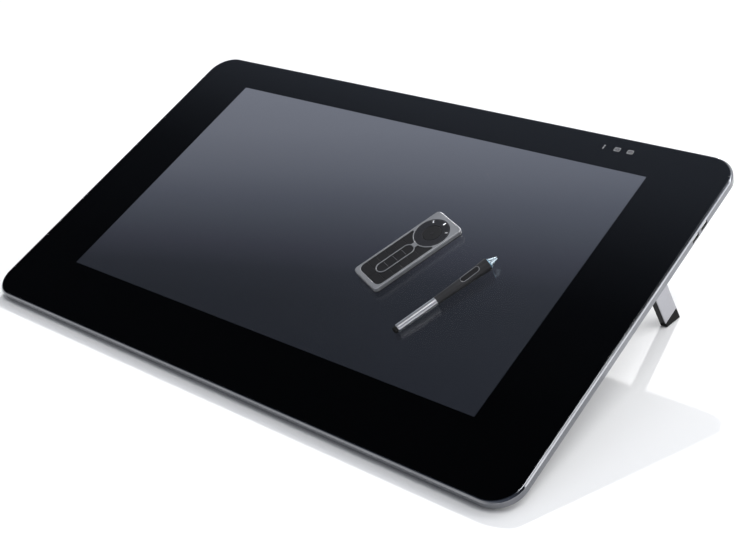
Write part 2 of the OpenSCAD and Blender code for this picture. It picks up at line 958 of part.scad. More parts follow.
// Rubber foot at the end of the arm
module leg_foot() {
  color([0.08, 0.08, 0.08])
    difference() {
      translate([-leg_in, -leg_w / 2 - foot_over, -arm_l - foot_block])
        cube([leg_in + leg_out + foot_over, leg_w + 2 * foot_over, foot_block]);
      leg_tongue(0.02);
    }
}

// Places a piece of the remote on the glass
module on_remote() {
  on_stand()
    translate([remote_x, remote_y, 0])
      rotate(remote_turn)
        children();
}

// Bar of the pill keys, grown by a clearance
module pill_bar(grow, z, t) {
  translate([(pill_x0 + pill_x1) / 2, 0, 0])
    bar(pill_x1 - pill_x0 + 2 * grow, pill_r + grow, z, t);
}

// Area of the side keys with its round lower corners, shrunk by a clearance
module key_well(shrink, z, t) {
  half = well_w / 2 - shrink;
  r = well_r - shrink;
  translate([well_x0 + well_r, -half, z])
    cube([well_x1 - shrink - well_x0 - well_r, 2 * half, t]);
  translate([well_x0 + shrink, -half + r, z])
    cube([well_r, 2 * (half - r), t]);
  for (s = [-1, 1])
    translate([well_x0 + well_r, s * (half - r), z])
      cylinder(r = r, h = t);
}

// Bright lines that cross the key area: round the ring, round the pill keys and between them
module key_lines(grow, z, t) {
  translate([ring_x, 0, z])
    cylinder(r = ring_r + line_w + grow, h = t);
  pill_bar(line_w + grow, z, t);
  translate([pill_x1 - 3, -3.5 - grow, z])
    cube([ring_x - ring_r - pill_x1 + 4, 7 + 2 * grow, t]);
}

// Bright frame of the remote with the lines round its keys
module remote_frame() {
  color([0.72, 0.73, 0.75])
    on_remote()
      difference() {
        union() {
          swept(remote_l, remote_w, remote_r)
            polygon([
              [-remote_r, base_h], [0, base_h], [0, remote_h - 0.8], [-0.8, remote_h], [-remote_r, remote_h]
            ]);
          block(remote_l - 2 * remote_r, remote_w - 2 * remote_r, base_h, remote_h - base_h);
        }
        translate([0, 0, base_h - 1])
          plate(hollow_l, hollow_w, remote_r - frame_wall, 0, frame_z - base_h + 1);
        difference() {
          key_well(0, frame_z - 1, frame_t + 2);
          key_lines(0, frame_z - 2, frame_t + 4);
        }
        pill_bar(0, frame_z - 1, frame_t + 2);
        translate([ring_x, 0, frame_z - 1])
          cylinder(r = ring_r, h = frame_t + 2);
      }
}

// Dark underside of the remote, a shallow tray with posts for its board
module remote_base() {
  color([0.1, 0.1, 0.11])
    on_remote() {
      difference() {
        union() {
          swept(remote_l, remote_w, remote_r)
            polygon([[-remote_r, 0], [-3, 0], [0, base_h - 1], [0, base_h], [-remote_r, base_h]]);
          block(remote_l - 2 * remote_r, remote_w - 2 * remote_r, 0, base_h);
        }
        block(remote_l - 10, remote_w - 10, 1.5, base_h);
      }
      for (x = [-1, 1], y = [-1, 1])
        translate([x * (remote_l / 2 - 8), y * (remote_w / 2 - 8), 1.5 - eps])
          cylinder(r = 2, h = pcb_z - 1.5 + eps);
    }
}

module remote_board() {
  color([0.1, 0.35, 0.2])
    on_remote()
      block(remote_l - 8, remote_w - 4, pcb_z, pcb_t);
}

module remote_battery() {
  color([0.3, 0.3, 0.34])
    on_remote()
      block(46, 24, 1.5, 2.4);
}

// Rubber sheet under the keys
module remote_key_mat() {
  color([0.3, 0.3, 0.3])
    on_remote()
      translate([(well_x0 + ring_x - ring_r) / 2, 0, 0])
        block(ring_x - ring_r - well_x0 - 1, well_w, mat_z, mat_t);
}

// One light mark on the ring, at the given angle
module light_mark(angle) {
  translate([ring_x, 0, 0])
    rotate(angle)
      translate([light_r, 0, 0])
        block(light_l, light_w, key_top - 0.5, 0.5);
}

module ring_lights() {
  color([0.95, 0.95, 0.95])
    on_remote()
      for (a = [-50, 0, 50])
        light_mark(a);
}

// Touch ring round the middle button
module touch_ring() {
  color([0.06, 0.06, 0.07])
    on_remote()
      difference() {
        translate([ring_x, 0, mat_z])
          cylinder(r = ring_r - fit, h = key_top - mat_z);
        translate([ring_x, 0, mat_z - 1])
          cylinder(r = hub_r, h = key_top - mat_z + 2);
        for (a = [-50, 0, 50])
          light_mark(a);
      }
}

module ring_button() {
  color([0.1, 0.1, 0.11])
    on_remote()
      translate([ring_x, 0, key_bottom])
        cylinder(r = hub_r - key_gap, h = key_top - key_bottom);
}

// One key of the pill, counted from the far end
module pill_key(i) {
  pitch = (pill_x1 - pill_x0) / pill_keys;
  color([0.1, 0.1, 0.11])
    on_remote()
      intersection() {
        pill_bar(-key_gap, key_bottom, key_top - key_bottom);
        translate([pill_x0 + i * pitch + key_gap / 2, -pill_r - 1, key_bottom - 1])
          cube([pitch - key_gap, 2 * pill_r + 2, key_top - key_bottom + 2]);
      }
}

// One key of a side column, counted from the far end, on the left (1) or the right (-1)
module side_key(side, i) {
  start = well_x0 + i * side_pitch + (i == 0 ? -1 : key_gap / 2);
  stop = i == side_keys - 1 ? well_x1 + 1 : well_x0 + (i + 1) * side_pitch - key_gap / 2;
  color([0.1, 0.1, 0.11])
    on_remote()
      difference() {
        intersection() {
          key_well(key_gap, key_bottom, key_top - key_bottom);
          translate([start, side > 0 ? key_gap / 2 : -well_w, key_bottom - 1])
            cube([stop - start, well_w - key_gap / 2, key_top - key_bottom + 2]);
        }
        key_lines(key_gap, key_bottom - 2, key_top - key_bottom + 4);
      }
}

// Places a piece of the pen, which runs along x from its tip and rests on its flare and its rear end
module on_pen() {
  on_stand()
    translate([pen_x, pen_y, 0])
      rotate(pen_turn + 180)
        translate([0, 0, flare_r / cos(pen_lean) + pen_rest + (grip_s + 1) * tan(pen_lean)])
          rotate([0, pen_lean, 0])
            rotate([pen_roll, 0, 0])
              children();
}

// Turned piece of the pen: the profile's x is the radius and its y is the distance from the tip
module turned() {
  rotate([0, 90, 0])
    rotate_extrude()
      children();
}

// Radius of the grip, falling in a curve from the flare to the barrel
function grip_r(s) = barrel_r + 0.2 + (flare_r - barrel_r - 0.2) * pow(1 - (s - grip_s) / grip_l, 1.6);

// Points along the grip's outside, grown by a rise
function grip_points(rise) = [
  for (i = [0:grip_steps]) let (s = grip_s + grip_l * i / grip_steps) [grip_r(s) + rise, s]
];

// Metal rear barrel with the sleeve that runs inside the grip
module pen_barrel() {
  end = barrel_s + barrel_l;
  color([0.78, 0.79, 0.81])
    on_pen()
      turned()
        polygon([
          [sleeve_r - 0.6, sleeve_s], [sleeve_r, sleeve_s], [sleeve_r, barrel_s], [barrel_r, barrel_s],
          [barrel_r, end - 0.6], [barrel_r - 0.5, end], [socket_r, end], [socket_r, end - socket_l],
          [sleeve_r - 0.6, end - socket_l]
        ]);
}

// Rounded bar of the side switch, along the pen and out from its axis
module switch_bar(grow) {
  translate([switch_s + switch_l / 2, 0, 0])
    bar(switch_l + 2 * grow, switch_w / 2 + grow, slot_floor, 10);
}

// Pin across the middle of the side switch, on which it rocks
module switch_pivot(grow) {
  translate([switch_s + switch_l / 2, 0, pivot_z])
    rotate([90, 0, 0])
      cylinder(r = pivot_r + grow, h = pivot_l + 2 * grow, center = true);
}

// Rubber grip with the slot of the side switch
module pen_grip() {
  color([0.08, 0.08, 0.08])
    on_pen()
      difference() {
        turned()
          polygon(concat(
            grip_points(0), [[sleeve_r + 0.02, barrel_s], [sleeve_r + 0.02, grip_s]]
          ));
        switch_bar(key_gap);
        switch_pivot(run_fit);
      }
}

// Front cone, with a stem inside the grip
module pen_cone() {
  color([0.82, 0.83, 0.85])
    on_pen()
      turned()
        polygon([
          [nib_r + 0.1, nib_l], [nib_r + 0.8, nib_l], [flare_r - 2.1, cone_l - 1], [flare_r - 1.9, cone_l],
          [sleeve_r, cone_l], [sleeve_r, sleeve_s], [nib_r + 0.1, sleeve_s]
        ]);
}

// Coloured band between the cone and the grip
module pen_band() {
  color([0.35, 0.45, 0.6])
    on_pen()
      turned()
        polygon([
          [sleeve_r + 0.02, cone_l], [flare_r - 1.5, cone_l], [flare_r - 0.5, grip_s],
          [sleeve_r + 0.02, grip_s]
        ]);
}

module pen_nib() {
  color([0.12, 0.12, 0.12])
    on_pen()
      turned()
        polygon([[0, 0], [0.4, 0.1], [nib_r, 1.6], [nib_r, sleeve_s - 1], [0, sleeve_s - 1]]);
}

// Eraser button at the rear end, with its stem in the barrel
module pen_eraser() {
  start = barrel_s + barrel_l;
  color([0.08, 0.08, 0.08])
    on_pen()
      turned()
        polygon([
          [0, start - stem_l], [stem_r, start - stem_l], [stem_r, start + 0.8], [eraser_r, start + 0.8],
          [eraser_r, pen_l - 2],
          [eraser_r - 0.6, pen_l - 0.6], [eraser_r - 2, pen_l], [0, pen_l]
        ]);
}

// Rocking side switch, just proud of the grip
module pen_switch() {
  color([0.2, 0.2, 0.21])
    on_pen() {
      intersection() {
        switch_bar(0);
        turned()
          polygon(concat(
            grip_points(switch_rise), [[switch_floor, barrel_s], [switch_floor, grip_s]]
          ));
      }
      switch_pivot(0);
    }
}

// Coil and circuit inside the barrel
module pen_core() {
  color([0.4, 0.25, 0.15])
    on_pen()
      turned()
        translate([0, sleeve_s + 2])
          square([sleeve_r - 0.7, core_l]);
}

cover_glass();
border_mask();
glass_tape();
rim_frame();
lcd_panel();
light_guide();
panel_tray();
sensor_board();
chassis();
main_board();
usb_board();
usb_ports();
rear_sockets();
rear_cover();
leg_brackets();
hinge_pins();
front_feet();
rear_pads();
case_screws();
chassis_screws();
power_switch();
power_button();
right_leg() leg_arm();  // right_leg_arm
right_leg() leg_plate();  // right_leg_plate
right_leg() leg_foot();  // right_leg_foot
left_leg() leg_arm();  // left_leg_arm
left_leg() leg_plate();  // left_leg_plate
left_leg() leg_foot();  // left_leg_foot
remote_frame();
remote_base();
remote_board();
remote_battery();
remote_key_mat();
touch_ring();
ring_lights();
ring_button();
pill_key(0);  // pill_key_1
pill_key(1);  // pill_key_2
pill_key(2);  // pill_key_3
pill_key(3);  // pill_key_4
side_key(1, 0);  // left_key_1
side_key(1, 1);  // left_key_2
side_key(1, 2);  // left_key_3
side_key(1, 3);  // left_key_4
side_key(1, 4);  // left_key_5
side_key(1, 5);  // left_key_6
side_key(-1, 0);  // right_key_1
side_key(-1, 1);  // right_key_2
side_key(-1, 2);  // right_key_3
side_key(-1, 3);  // right_key_4
side_key(-1, 4);  // right_key_5
side_key(-1, 5);  // right_key_6
pen_barrel();
pen_grip();
pen_cone();
pen_band();
pen_nib();
pen_eraser();
pen_switch();
pen_core();
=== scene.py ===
import bpy
import json
import math
from mathutils import Matrix, Vector


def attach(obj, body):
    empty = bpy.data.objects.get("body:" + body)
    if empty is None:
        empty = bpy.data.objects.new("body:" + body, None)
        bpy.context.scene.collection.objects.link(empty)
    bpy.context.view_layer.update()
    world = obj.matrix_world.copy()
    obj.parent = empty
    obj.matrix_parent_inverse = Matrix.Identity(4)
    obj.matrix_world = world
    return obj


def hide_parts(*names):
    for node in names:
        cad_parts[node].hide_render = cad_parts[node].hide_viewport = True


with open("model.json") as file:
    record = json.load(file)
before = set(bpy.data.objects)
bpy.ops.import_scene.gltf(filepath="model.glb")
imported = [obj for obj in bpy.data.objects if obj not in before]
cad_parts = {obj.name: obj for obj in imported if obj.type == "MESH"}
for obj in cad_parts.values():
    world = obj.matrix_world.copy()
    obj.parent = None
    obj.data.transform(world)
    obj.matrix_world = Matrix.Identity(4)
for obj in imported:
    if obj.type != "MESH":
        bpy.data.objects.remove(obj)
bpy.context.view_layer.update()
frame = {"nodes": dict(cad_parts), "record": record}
nodes = frame["nodes"]
bodies = frame["record"]["behaviour"]["bodies"]
bodyOf = {node: body for body, members in bodies.items() for node in members}
keyNames = [name for name in nodes if name.startswith(("pill_key", "left_key", "right_key"))]
print("frame loaded:", len(nodes), "nodes")

# the flat panel as drawn in CAD, tilted onto its legs, and the places of the two loose pieces on it
panel = {"tilt": math.radians(20), "y": -0.00188111, "z": 0.09006463}
remoteSpot = {"x": 0.113, "y": -0.001, "turn": math.radians(68.5), "ringX": 0.032}
penSpot = {"x": 0.2145, "y": 0.0235, "turn": math.radians(247.5), "lift": 0.0075442,
           "lean": 0.024088, "roll": math.radians(-15)}
legSpot = {"x": 0.323, "y": 0.1095, "z": -0.0152, "splay": math.radians(-8)}


def moved(x, y, z):
    return Matrix.Translation((x, y, z))


def turned(angle, axis):
    return Matrix.Rotation(angle, 4, axis)


onStand = moved(0, panel["y"], panel["z"]) @ turned(panel["tilt"], "X")
onRemote = onStand @ moved(remoteSpot["x"], remoteSpot["y"], 0) @ turned(remoteSpot["turn"], "Z")
onPen = onStand @ moved(penSpot["x"], penSpot["y"], penSpot["lift"]) @ turned(penSpot["turn"], "Z")
onPen = onPen @ turned(penSpot["lean"], "Y") @ turned(penSpot["roll"], "X")
onLeg = onStand @ moved(legSpot["x"], legSpot["y"], legSpot["z"]) @ turned(legSpot["splay"], "Y")

photoView = {"place": (0.89183, -0.892949, 0.717469), "right": (0.75802, 0.644735, -0.098604),
             "down": (0.246765, -0.423435, -0.871671), "lens": 61.3703, "sensor": 36, "reach": 100}


def addCamera():
    right = Vector(photoView["right"]).normalized()
    up = -Vector(photoView["down"])
    up = (up - up.dot(right) * right).normalized()
    turn = Matrix((right, up, right.cross(up))).transposed().to_euler()
    bpy.ops.object.camera_add(location=photoView["place"], rotation=turn)
    camera = bpy.context.object
    camera.name = "photoCamera"
    camera.data.sensor_width = photoView["sensor"]
    camera.data.sensor_fit = "HORIZONTAL"
    camera.data.lens = photoView["lens"]
    camera.data.clip_end = photoView["reach"]
    bpy.context.scene.camera = camera


addCamera()
print("camera placed")


# node helpers: feeds are a node's inputs, each a plain value or the output that is linked to it
def feed(tree, socket, value):
    if isinstance(value, bpy.types.NodeSocket):
        tree.links.new(value, socket)
    else:
        socket.default_value = value


def addNode(tree, kind, feeds, **settings):
    node = tree.nodes.new("ShaderNode" + kind)
    for key, value in settings.items():
        setattr(node, key, value)
    for key, value in feeds.items():
        feed(tree, node.inputs[key], value)
    return node


def dot(tree, vector, axis):
    return addNode(tree, "VectorMath", {0: vector, 1: axis}, operation="DOT_PRODUCT").outputs["Value"]


def combine(tree, operation, first, second):
    return addNode(tree, "Math", {0: first, 1: second}, operation=operation).outputs["Value"]


def spread(tree, value, low, high, fromLow, fromHigh, **settings):
    feeds = {"Value": value, "From Min": fromLow, "From Max": fromHigh, "To Min": low, "To Max": high}
    return addNode(tree, "MapRange", feeds, **settings).outputs["Result"]


def ramp(tree, value, stops):
    node = addNode(tree, "ValToRGB", {"Fac": value})
    band = node.color_ramp.elements
    while len(band) < len(stops):
        band.new(0.5)
    for element, (at, colour) in zip(band, stops):
        element.position = at
        element.color = (*colour, 1)
    return node.outputs["Color"]


def grid(tree, place, size):
    # Object coordinates seen from a piece's own place, one unit per feature of that size
    points = addNode(tree, "TexCoord", {}).outputs["Object"]
    feeds = {"Vector": points, "Location": place.translation, "Rotation": place.to_euler(), "Scale": size}
    return addNode(tree, "Mapping", feeds, vector_type="TEXTURE").outputs["Vector"]


def noise(tree, place, size, detail):
    feeds = {"Vector": grid(tree, place, size), "Scale": 1.0, "Detail": detail}
    return addNode(tree, "TexNoise", feeds).outputs["Fac"]


# finishes: a Principled shader each, with patterns on Object coordinates
noiseReach = (0.3, 0.7)  # noise seldom leaves this range
grainLook = {"drift": 0.03, "driftDetail": 4, "fineDetail": 3, "stops": (0.35, 0.65)}
brushLook = {"detail": 4, "stops": noiseReach}


def setShader(finish, feeds):
    shader = finish.node_tree.nodes["Principled BSDF"]
    for key, value in feeds.items():
        feed(finish.node_tree, shader.inputs[key], value)


def newFinish(name, colour, rough, metal=0.0):
    finish = bpy.data.materials.new(name)
    finish.use_nodes = True
    setShader(finish, {"Base Color": (*colour, 1), "Roughness": rough, "Metallic": metal})
    return finish


def addPattern(finish, slow, stops, fine, rough, depth, reach=noiseReach):
    # colour from the slow pattern, gloss and bump from the fine one
    tree = finish.node_tree
    bump = addNode(tree, "Bump", {"Distance": depth, "Strength": 1.0, "Height": fine})
    setShader(finish, {"Base Color": ramp(tree, slow, stops), "Normal": bump.outputs["Normal"],
                       "Roughness": spread(tree, fine, *rough, *reach)})


def grained(name, dark, light, rough, grain, depth, place=onStand, metal=0.0):
    # moulded or cast surface: slow drift of colour, fine grain in the bump and the gloss
    finish = newFinish(name, light, rough[0], metal)
    drift = noise(finish.node_tree, place, (grainLook["drift"],) * 3, grainLook["driftDetail"])
    fine = noise(finish.node_tree, place, (grain,) * 3, grainLook["fineDetail"])
    addPattern(finish, drift, list(zip(grainLook["stops"], (dark, light))), fine, rough, depth)
    return finish


def brushed(name, dark, light, rough, along, depth, place):
    # fine lines along one axis of the piece
    finish = newFinish(name, light, rough[0], 1.0)
    lines = noise(finish.node_tree, place, along, brushLook["detail"])
    addPattern(finish, lines, list(zip(brushLook["stops"], (dark, light))), lines, rough, depth)
    return finish


glassLook = {"colour": (0.97, 0.98, 1.0), "ior": 1.5, "rough": (0.05, 0.075),
             "smear": (0.08, 0.05, 0.05), "smearDetail": 3}


def makeGlass():
    finish = newFinish("etchedGlass", glassLook["colour"], glassLook["rough"][0])
    tree = finish.node_tree
    smear = noise(tree, onStand, glassLook["smear"], glassLook["smearDetail"])
    setShader(finish, {"IOR": glassLook["ior"], "Transmission Weight": 1.0,
                       "Roughness": spread(tree, smear, *glassLook["rough"], *noiseReach)})
    return finish


# screen area: painted sheen, a grey glow on the dark screen, light at the far left and dark at the near right
pictureLook = {
    "base": (0.0008, 0.0008, 0.0009), "rough": 0.45,
    "slant": (-0.26, 1.0, 0.0), "from": -0.22105, "to": 0.24895,
    "stops": [(0.0, (0.014, 0.0158, 0.0212)), (0.245, (0.0185, 0.0207, 0.0265)),
              (0.33, (0.0235, 0.026, 0.0335)), (0.415, (0.04, 0.0428, 0.0565)),
              (0.5, (0.0595, 0.0653, 0.0825)), (0.585, (0.0808, 0.0878, 0.1106)),
              (0.681, (0.1138, 0.1223, 0.1496)), (0.84, (0.1549, 0.165, 0.1974)),
              (1.0, (0.1757, 0.1866, 0.2215))]}


# the screen's glow is painted sheen, a ramp along a slant across the panel
def makeScreenSheen():
    finish = newFinish("paintedSheenPicture", pictureLook["base"], pictureLook["rough"])
    tree = finish.node_tree
    slant = dot(tree, grid(tree, onStand, (1, 1, 1)), pictureLook["slant"])
    shade = spread(tree, slant, 0, 1, pictureLook["from"], pictureLook["to"])
    setShader(finish, {"Specular IOR Level": 0.0,  # bonded to the glass
                       "Emission Color": ramp(tree, shade, pictureLook["stops"]), "Emission Strength": 1.0})
    return finish


# boards: green solder mask with a maze of lighter tracks
boardLook = {"base": (0.02, 0.09, 0.04), "rough": 0.4, "field": 0.004, "line": 0.03,
             "mask": [(0.012, 0.07, 0.03, 1), (0.016, 0.085, 0.035, 1)], "track": (0.06, 0.2, 0.08, 1)}


def makeBoard(name, place):
    finish = newFinish(name, boardLook["base"], boardLook["rough"])
    tree = finish.node_tree
    feeds = {"Vector": grid(tree, place, (boardLook["field"],) * 3), "Scale": 1.0,
             "Color1": boardLook["mask"][0], "Color2": boardLook["mask"][1],
             "Mortar": boardLook["track"], "Mortar Size": boardLook["line"]}
    setShader(finish, {"Base Color": addNode(tree, "TexBrick", feeds).outputs["Color"]})
    return finish


# touch ring: gloss black with fine turned circles about its centre
ringLook = {"base": (0.02, 0.02, 0.023), "baseRough": 0.3, "groove": 0.003, "depth": 0.00002,
            "rough": (0.24, 0.36), "stops": [(0.0, (0.012, 0.012, 0.014)), (1.0, (0.022, 0.022, 0.026))]}


def makeRing():
    finish = newFinish("ringBlack", ringLook["base"], ringLook["baseRough"])
    tree = finish.node_tree
    centre = onRemote @ moved(remoteSpot["ringX"], 0, 0)
    feeds = {"Vector": grid(tree, centre, (ringLook["groove"],) * 3), "Scale": 1.0}
    turns = addNode(tree, "TexWave", feeds, wave_type="RINGS", rings_direction="Z").outputs["Fac"]
    addPattern(finish, turns, ringLook["stops"], turns, ringLook["rough"], ringLook["depth"], (0, 1))
    return finish


glowLook = {"colour": (0.85, 0.87, 0.9), "dim": 0.9, "strength": 0.8, "rough": 0.4, "speck": 0.002, "detail": 2}


def makeGlow():
    finish = newFinish("lightMark", glowLook["colour"], glowLook["rough"])
    tree = finish.node_tree
    specks = noise(tree, onRemote, (glowLook["speck"],) * 3, glowLook["detail"])
    shades = [glowLook["dim"] * share for share in glowLook["colour"]], glowLook["colour"]
    setShader(finish, {"Emission Color": ramp(tree, specks, list(zip(noiseReach, shades))),
                       "Emission Strength": glowLook["strength"]})
    return finish


# each row: name, dark and light colour, gloss range, grain size and depth in metres, then place and metal
grainedLooks = {
    "print": ("borderPrint", (0.0003, 0.0003, 0.0004), (0.0005, 0.0005, 0.0006), (0.45, 0.55), 0.002, 2e-6),
    "tape": ("foamTape", (0.02, 0.02, 0.02), (0.035, 0.035, 0.035), (0.8, 0.95), 0.0008, 1e-4),
    "rim": ("blastedAluminium", (0.19, 0.195, 0.21), (0.225, 0.23, 0.245), (0.08, 0.12), 0.0006, 1e-6, onStand, 1),
    "guide": ("clearGuide", (0.78, 0.8, 0.82), (0.86, 0.88, 0.9), (0.15, 0.25), 0.004, 1e-5),
    "steel": ("zincSteel", (0.42, 0.42, 0.43), (0.52, 0.52, 0.53), (0.3, 0.42), 0.001, 1e-5, onStand, 1),
    "chassis": ("pressedSteel", (0.38, 0.39, 0.4), (0.46, 0.47, 0.48), (0.35, 0.45), 0.0015, 2e-5, onStand, 1),
    "port": ("nickelShell", (0.62, 0.62, 0.62), (0.72, 0.72, 0.72), (0.16, 0.26), 0.0008, 4e-6, onStand, 1),
    "socket": ("socketPlastic", (0.02, 0.02, 0.021), (0.03, 0.03, 0.031), (0.4, 0.5), 0.0006, 1e-5),
    "cover": ("texturedBlack", (0.014, 0.014, 0.0148), (0.019, 0.019, 0.0198), (0.44, 0.58), 0.0007, 3e-5),
    "rubber": ("softRubber", (0.008, 0.008, 0.008), (0.013, 0.013, 0.013), (0.7, 0.85), 0.0006, 4e-5),
    "screw": ("blackScrew", (0.03, 0.03, 0.032), (0.06, 0.06, 0.062), (0.32, 0.45), 0.0005, 1e-5, onStand, 0.8),
    "tongue": ("tongueWhite", (0.7, 0.7, 0.7), (0.8, 0.8, 0.8), (0.3, 0.4), 0.0006, 6e-6),
    "contact": ("contactGold", (0.6, 0.45, 0.18), (0.7, 0.53, 0.24), (0.2, 0.3), 0.0005, 4e-6, onStand, 1),
    "mark": ("markInk", (0.25, 0.25, 0.262), (0.3, 0.3, 0.312), (0.5, 0.6), 0.0005, 4e-6),
    "legBlack": ("legPaint", (0.010, 0.010, 0.011), (0.015, 0.015, 0.016), (0.35, 0.48), 0.0006, 2e-5, onLeg),
    "battery": ("shrinkWrap", (0.06, 0.06, 0.075), (0.09, 0.09, 0.11), (0.35, 0.5), 0.003, 5e-5, onRemote),
    "silver": ("silverPaint", (0.36, 0.365, 0.38), (0.42, 0.425, 0.44), (0.34, 0.44), 0.0004, 6e-6, onRemote, 0.7),
    "key": ("keyPlastic", (0.008, 0.008, 0.009), (0.012, 0.012, 0.0135), (0.42, 0.55), 0.0004, 1e-5, onRemote),
    "base": ("baseBlack", (0.012, 0.012, 0.013), (0.018, 0.018, 0.019), (0.45, 0.6), 0.0005, 2e-5, onRemote),
    "circle": ("circleGrey", (0.07, 0.07, 0.075), (0.09, 0.09, 0.095), (0.35, 0.45), 0.0005, 4e-6, onRemote, 0.5),
    "spot": ("spotBlack", (0.006, 0.006, 0.007), (0.009, 0.009, 0.01), (0.3, 0.4), 0.0004, 4e-6, onRemote),
    "penPale": ("conePearl", (0.24, 0.29, 0.325), (0.31, 0.37, 0.41), (0.2, 0.28), 0.003, 4e-6, onPen, 0.8),
    "penBand": ("bandBlue", (0.18, 0.32, 0.42), (0.24, 0.4, 0.5), (0.18, 0.26), 0.002, 4e-6, onPen, 0.6),
    "penRubber": ("gripRubber", (0.024, 0.024, 0.026), (0.034, 0.034, 0.036), (0.36, 0.46), 0.0004, 1e-5, onPen),
}
# each row: name, dark and light colour, gloss range, size of the lines and their depth in metres, place
brushedLooks = {
    "legMetal": ("brushedLeg", (0.36, 0.36, 0.385), (0.45, 0.45, 0.475), (0.28, 0.4),
                 (0.0025, 0.00012, 0.006), 1e-5, onLeg),
    "penMetal": ("penBarrelMetal", (0.72, 0.72, 0.74), (0.8, 0.8, 0.82), (0.28, 0.36),
                 (0.02, 0.00006, 0.00006), 5e-7, onPen),
}
finishes = {
    "glass": makeGlass(), "picture": makeScreenSheen(), "ring": makeRing(), "light": makeGlow(),
    "board": makeBoard("greenBoard", onStand), "remoteBoard": makeBoard("greenBoardSmall", onRemote),
}
finishes.update({look: grained(*row) for look, row in grainedLooks.items()})
finishes.update({look: brushed(*row) for look, row in brushedLooks.items()})
# the print is ink on the glass's back, the others are dull with no lacquer
dullLooks = {"print": 0.0, "rubber": 0.12, "legBlack": 0.2, "key": 0.22, "penRubber": 0.25}
for look, gloss in dullLooks.items():
    setShader(finishes[look], {"Specular IOR Level": gloss})

finishOf = {
    "glass": ["cover_glass"], "print": ["border_mask"], "tape": ["glass_tape"], "picture": ["lcd_panel"],
    "guide": ["light_guide"], "rim": ["rim_frame", "power_button"], "cover": ["rear_cover"],
    "steel": ["panel_tray", "leg_brackets", "hinge_pins", "chassis_screws"], "chassis": ["chassis"],
    "board": ["sensor_board", "main_board", "usb_board"], "remoteBoard": ["remote_board"],
    "port": ["usb_ports"], "socket": ["rear_sockets", "power_switch"], "screw": ["case_screws"],
    "rubber": ["front_feet", "rear_pads", "right_leg_foot", "left_leg_foot", "pen_eraser", "remote_key_mat"],
    "legBlack": ["right_leg_arm", "left_leg_arm"], "legMetal": ["right_leg_plate", "left_leg_plate"],
    "battery": ["remote_battery", "pen_core"], "silver": ["remote_frame"], "base": ["remote_base"],
    "ring": ["touch_ring"], "light": ["ring_lights"], "key": ["ring_button", "pen_nib", "pen_switch"] + keyNames,
    "penMetal": ["pen_barrel"], "penPale": ["pen_cone"], "penBand": ["pen_band"], "penRubber": ["pen_grip"],
}
for look, names in finishOf.items():
    for name in names:
        nodes[name].data.materials.clear()
        nodes[name].data.materials.append(finishes[look])
print("finishes on", sum(len(names) for names in finishOf.values()), "nodes")

# copies of CAD nodes: what counts as one point, one flat face and a sharp edge
copyLook = {"merge": 0.000003, "flat": math.radians(0.6), "sharp": math.radians(40), "flatWeight": 100}


def pick(piece):
    bpy.ops.object.select_all(action="DESELECT")
    piece.select_set(True)
    bpy.context.view_layer.objects.active = piece


def copyNode(name):
    # a working copy of a CAD node, its triangles merged back into flat faces
    pick(nodes[name])
    bpy.ops.object.duplicate()
    piece = bpy.context.object
    piece.name = name + ".dressed"
    for key in [key for key in piece.keys() if key.startswith("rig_")]:
        del piece[key]
    bpy.ops.object.mode_set(mode="EDIT")
    bpy.ops.mesh.select_all(action="SELECT")
    bpy.ops.mesh.remove_doubles(threshold=copyLook["merge"])
    bpy.ops.mesh.dissolve_limited(angle_limit=copyLook["flat"])
    bpy.ops.object.mode_set(mode="OBJECT")
    return piece


def useModifier(piece, kind, **values):
    pick(piece)
    modifier = piece.modifiers.new(kind.lower(), kind)
    for key, value in values.items():
        setattr(modifier, key, value)
    bpy.ops.object.modifier_apply(modifier=modifier.name)


def smooth(piece):
    # soft shading that large flat faces keep out of
    pick(piece)
    bpy.ops.object.shade_smooth_by_angle(angle=copyLook["sharp"])
    useModifier(piece, "WEIGHTED_NORMAL", mode="FACE_AREA", weight=copyLook["flatWeight"], keep_sharp=True)


def putOn(piece, name):
    # the finished copy stands for its node and moves with it
    smooth(piece)
    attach(piece, bodyOf[name])
    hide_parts(name)


def choose(piece, kind, test):
    # leaves edit mode open with only the faces or edges that pass the test
    pick(piece)
    bpy.ops.object.mode_set(mode="EDIT")
    bpy.ops.mesh.select_mode(type=kind)
    bpy.ops.mesh.select_all(action="DESELECT")
    bpy.ops.object.mode_set(mode="OBJECT")
    for part in (piece.data.polygons if kind == "FACE" else piece.data.edges):
        part.select = test(part)
    bpy.ops.object.mode_set(mode="EDIT")


def flatSpots(piece):
    # the piece's points as they lie on the flat panel
    flat = onStand.inverted()
    return [flat @ vertex.co for vertex in piece.data.vertices]


# edge rounding in metres, as moulding and machining leave it: width and steps
roundings = {
    "cover_glass": (0.00025, 2), "power_button": (0.0003, 3), "front_feet": (0.0006, 3),
    "rear_pads": (0.0005, 3), "right_leg_arm": (0.0004, 2), "left_leg_arm": (0.0004, 2),
    "right_leg_plate": (0.0003, 3), "left_leg_plate": (0.0003, 3), "right_leg_foot": (0.001, 4),
    "left_leg_foot": (0.001, 4), "case_screws": (0.00015, 2), "usb_ports": (0.0001, 2),
    "rear_cover": (0.00023, 2), "rear_sockets": (0.00015, 2), "remote_base": (0.0004, 3),
    "remote_frame": (0.00025, 3), "touch_ring": (0.0003, 3), "ring_button": (0.0004, 3),
    "pen_barrel": (0.00015, 2), "pen_cone": (0.00015, 2), "pen_band": (0.00012, 2),
    "pen_eraser": (0.0004, 3), "pen_nib": (0.0001, 2), "pen_switch": (0.00025, 3), "pen_grip": (0.00012, 2),
}
roundings.update({name: (0.00028, 3) for name in keyNames})


def roundOver(name, width, steps):
    piece = copyNode(name)
    useModifier(piece, "BEVEL", width=width, segments=steps, limit_method="ANGLE",
                angle_limit=copyLook["sharp"], use_clamp_overlap=False)
    putOn(piece, name)
    return piece


dressed = {name: roundOver(name, width, steps) for name, (width, steps) in roundings.items()}
print("rounded", len(dressed), "nodes")

